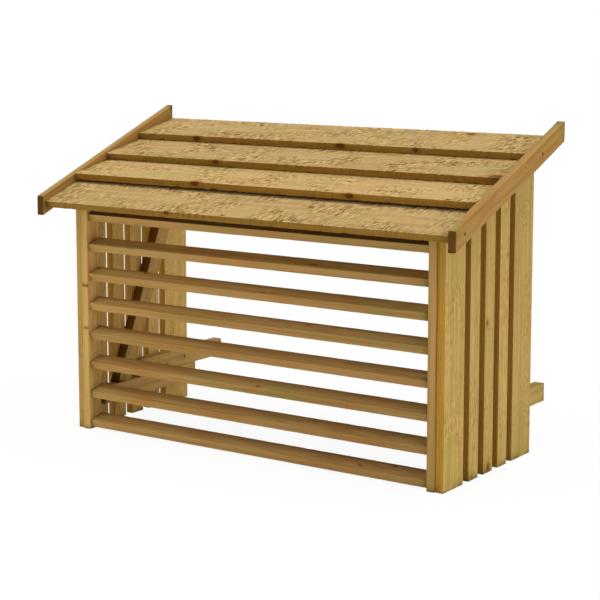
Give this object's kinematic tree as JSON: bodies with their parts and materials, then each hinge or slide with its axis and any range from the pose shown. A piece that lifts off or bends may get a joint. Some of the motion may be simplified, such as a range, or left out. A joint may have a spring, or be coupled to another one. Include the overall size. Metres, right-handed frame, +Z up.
{
  "type": "firewood log rack",
  "caption": "Lean-to timber log rack with a louvred front, boarded side walls, a lapped pent roof between bargeboards and an open back on stand-off bearers.",
  "frame": {"origin": "bottom centre of the bounding box, on the ground", "axes": "+X to the right seen from the front, -Y out of the louvred front, +Y to the open back and the bearers' ends, +Z up"},
  "size_m": [1.1876, 0.609, 0.796],
  "materials": {
    "wall_timber": "planed pressure-treated softwood, matt",
    "stile_timber": "planed pressure-treated softwood, matt",
    "slat_timber": "planed pressure-treated softwood, matt",
    "frame_timber": "planed pressure-treated softwood, matt",
    "roof_timber": "rough-sawn pressure-treated softwood, matt",
    "barge_timber": "planed pressure-treated softwood, matt",
    "screw_steel": "yellow-passivated steel, dull"
  },
  "bodies": {
    "root": {"front_stile_left": "stile_timber", "front_stile_right": "stile_timber", "front_slat_1": "slat_timber", "front_slat_2": "slat_timber", "front_slat_3": "slat_timber", "front_slat_4": "slat_timber", "front_slat_5": "slat_timber", "front_slat_6": "slat_timber", "front_slat_7": "slat_timber", "front_slat_8": "slat_timber", "left_wall_board_1": "wall_timber", "left_wall_board_2": "wall_timber", "left_wall_board_3": "wall_timber", "left_wall_board_4": "wall_timber", "left_wall_board_5": "wall_timber", "right_wall_board_1": "wall_timber", "right_wall_board_2": "wall_timber", "right_wall_board_3": "wall_timber", "right_wall_board_4": "wall_timber", "right_wall_board_5": "wall_timber", "left_lower_cleat": "frame_timber", "left_upper_cleat": "frame_timber", "left_brace": "frame_timber", "left_bearer": "frame_timber", "right_lower_cleat": "frame_timber", "right_upper_cleat": "frame_timber", "right_brace": "frame_timber", "right_bearer": "frame_timber", "rear_top_rail": "frame_timber", "roof_board_1": "roof_timber", "roof_board_2": "roof_timber", "roof_board_3": "roof_timber", "roof_board_4": "roof_timber", "bargeboard_left": "barge_timber", "bargeboard_right": "barge_timber", "left_bearer_screw_1": "screw_steel", "left_bearer_screw_2": "screw_steel", "bargeboard_screw_left_1": "screw_steel", "bargeboard_screw_left_2": "screw_steel", "right_bearer_screw_1": "screw_steel", "right_bearer_screw_2": "screw_steel", "bargeboard_screw_right_1": "screw_steel", "bargeboard_screw_right_2": "screw_steel"}
  },
  "joints": []
}
